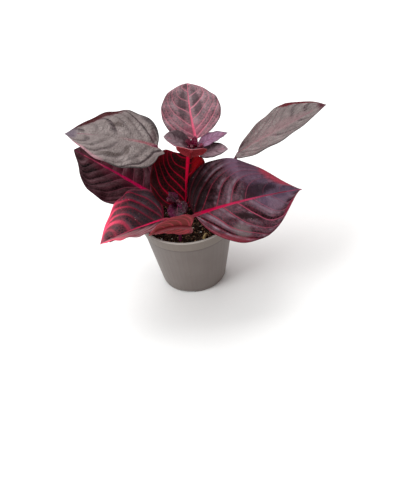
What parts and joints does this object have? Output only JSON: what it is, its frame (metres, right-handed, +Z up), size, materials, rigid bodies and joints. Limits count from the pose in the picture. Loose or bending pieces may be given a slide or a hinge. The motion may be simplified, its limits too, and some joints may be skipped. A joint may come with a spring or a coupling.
{
  "type": "potted bloodleaf",
  "caption": "Young bloodleaf with dark wine leaves and crimson veins, growing on two shoots from soil in a small round taupe plastic nursery pot.",
  "frame": {"origin": "middle of the pot's base, on the surface that it stands on", "axes": "+Z is up, along the pot's axis; -Y is the front, which the picture shows; +X is to the right seen from the front, towards the largest leaf"},
  "size_m": [0.1589, 0.1015, 0.1049],
  "materials": {
    "pot": "satin taupe plastic",
    "soil": "moist crumbly peat",
    "stem": "smooth crimson",
    "dark_leaf": "satin, veined",
    "grey_leaf": "satin, puckered",
    "young_leaf": "satin, veined",
    "purple_leaf": "satin, downy"
  },
  "bodies": {
    "root": {"pot": "pot", "soil": "soil", "tall_stem": "stem", "short_stem": "stem", "leaf_middle_left": "dark_leaf", "leaf_middle_right": "dark_leaf", "leaf_low_back": "dark_leaf", "leaf_short_back": "dark_leaf", "leaf_short_left": "dark_leaf", "leaf_short_right": "dark_leaf", "leaf_short_front": "dark_leaf", "leaf_upper_left": "grey_leaf", "leaf_upper_right": "grey_leaf", "leaf_top_back": "young_leaf", "leaf_top_front": "young_leaf", "leaf_top_left": "young_leaf", "leaf_top_right": "young_leaf", "leaf_top_rear_right": "purple_leaf", "tall_shoot_tip": "purple_leaf", "short_shoot_tip": "purple_leaf"}
  },
  "joints": []
}
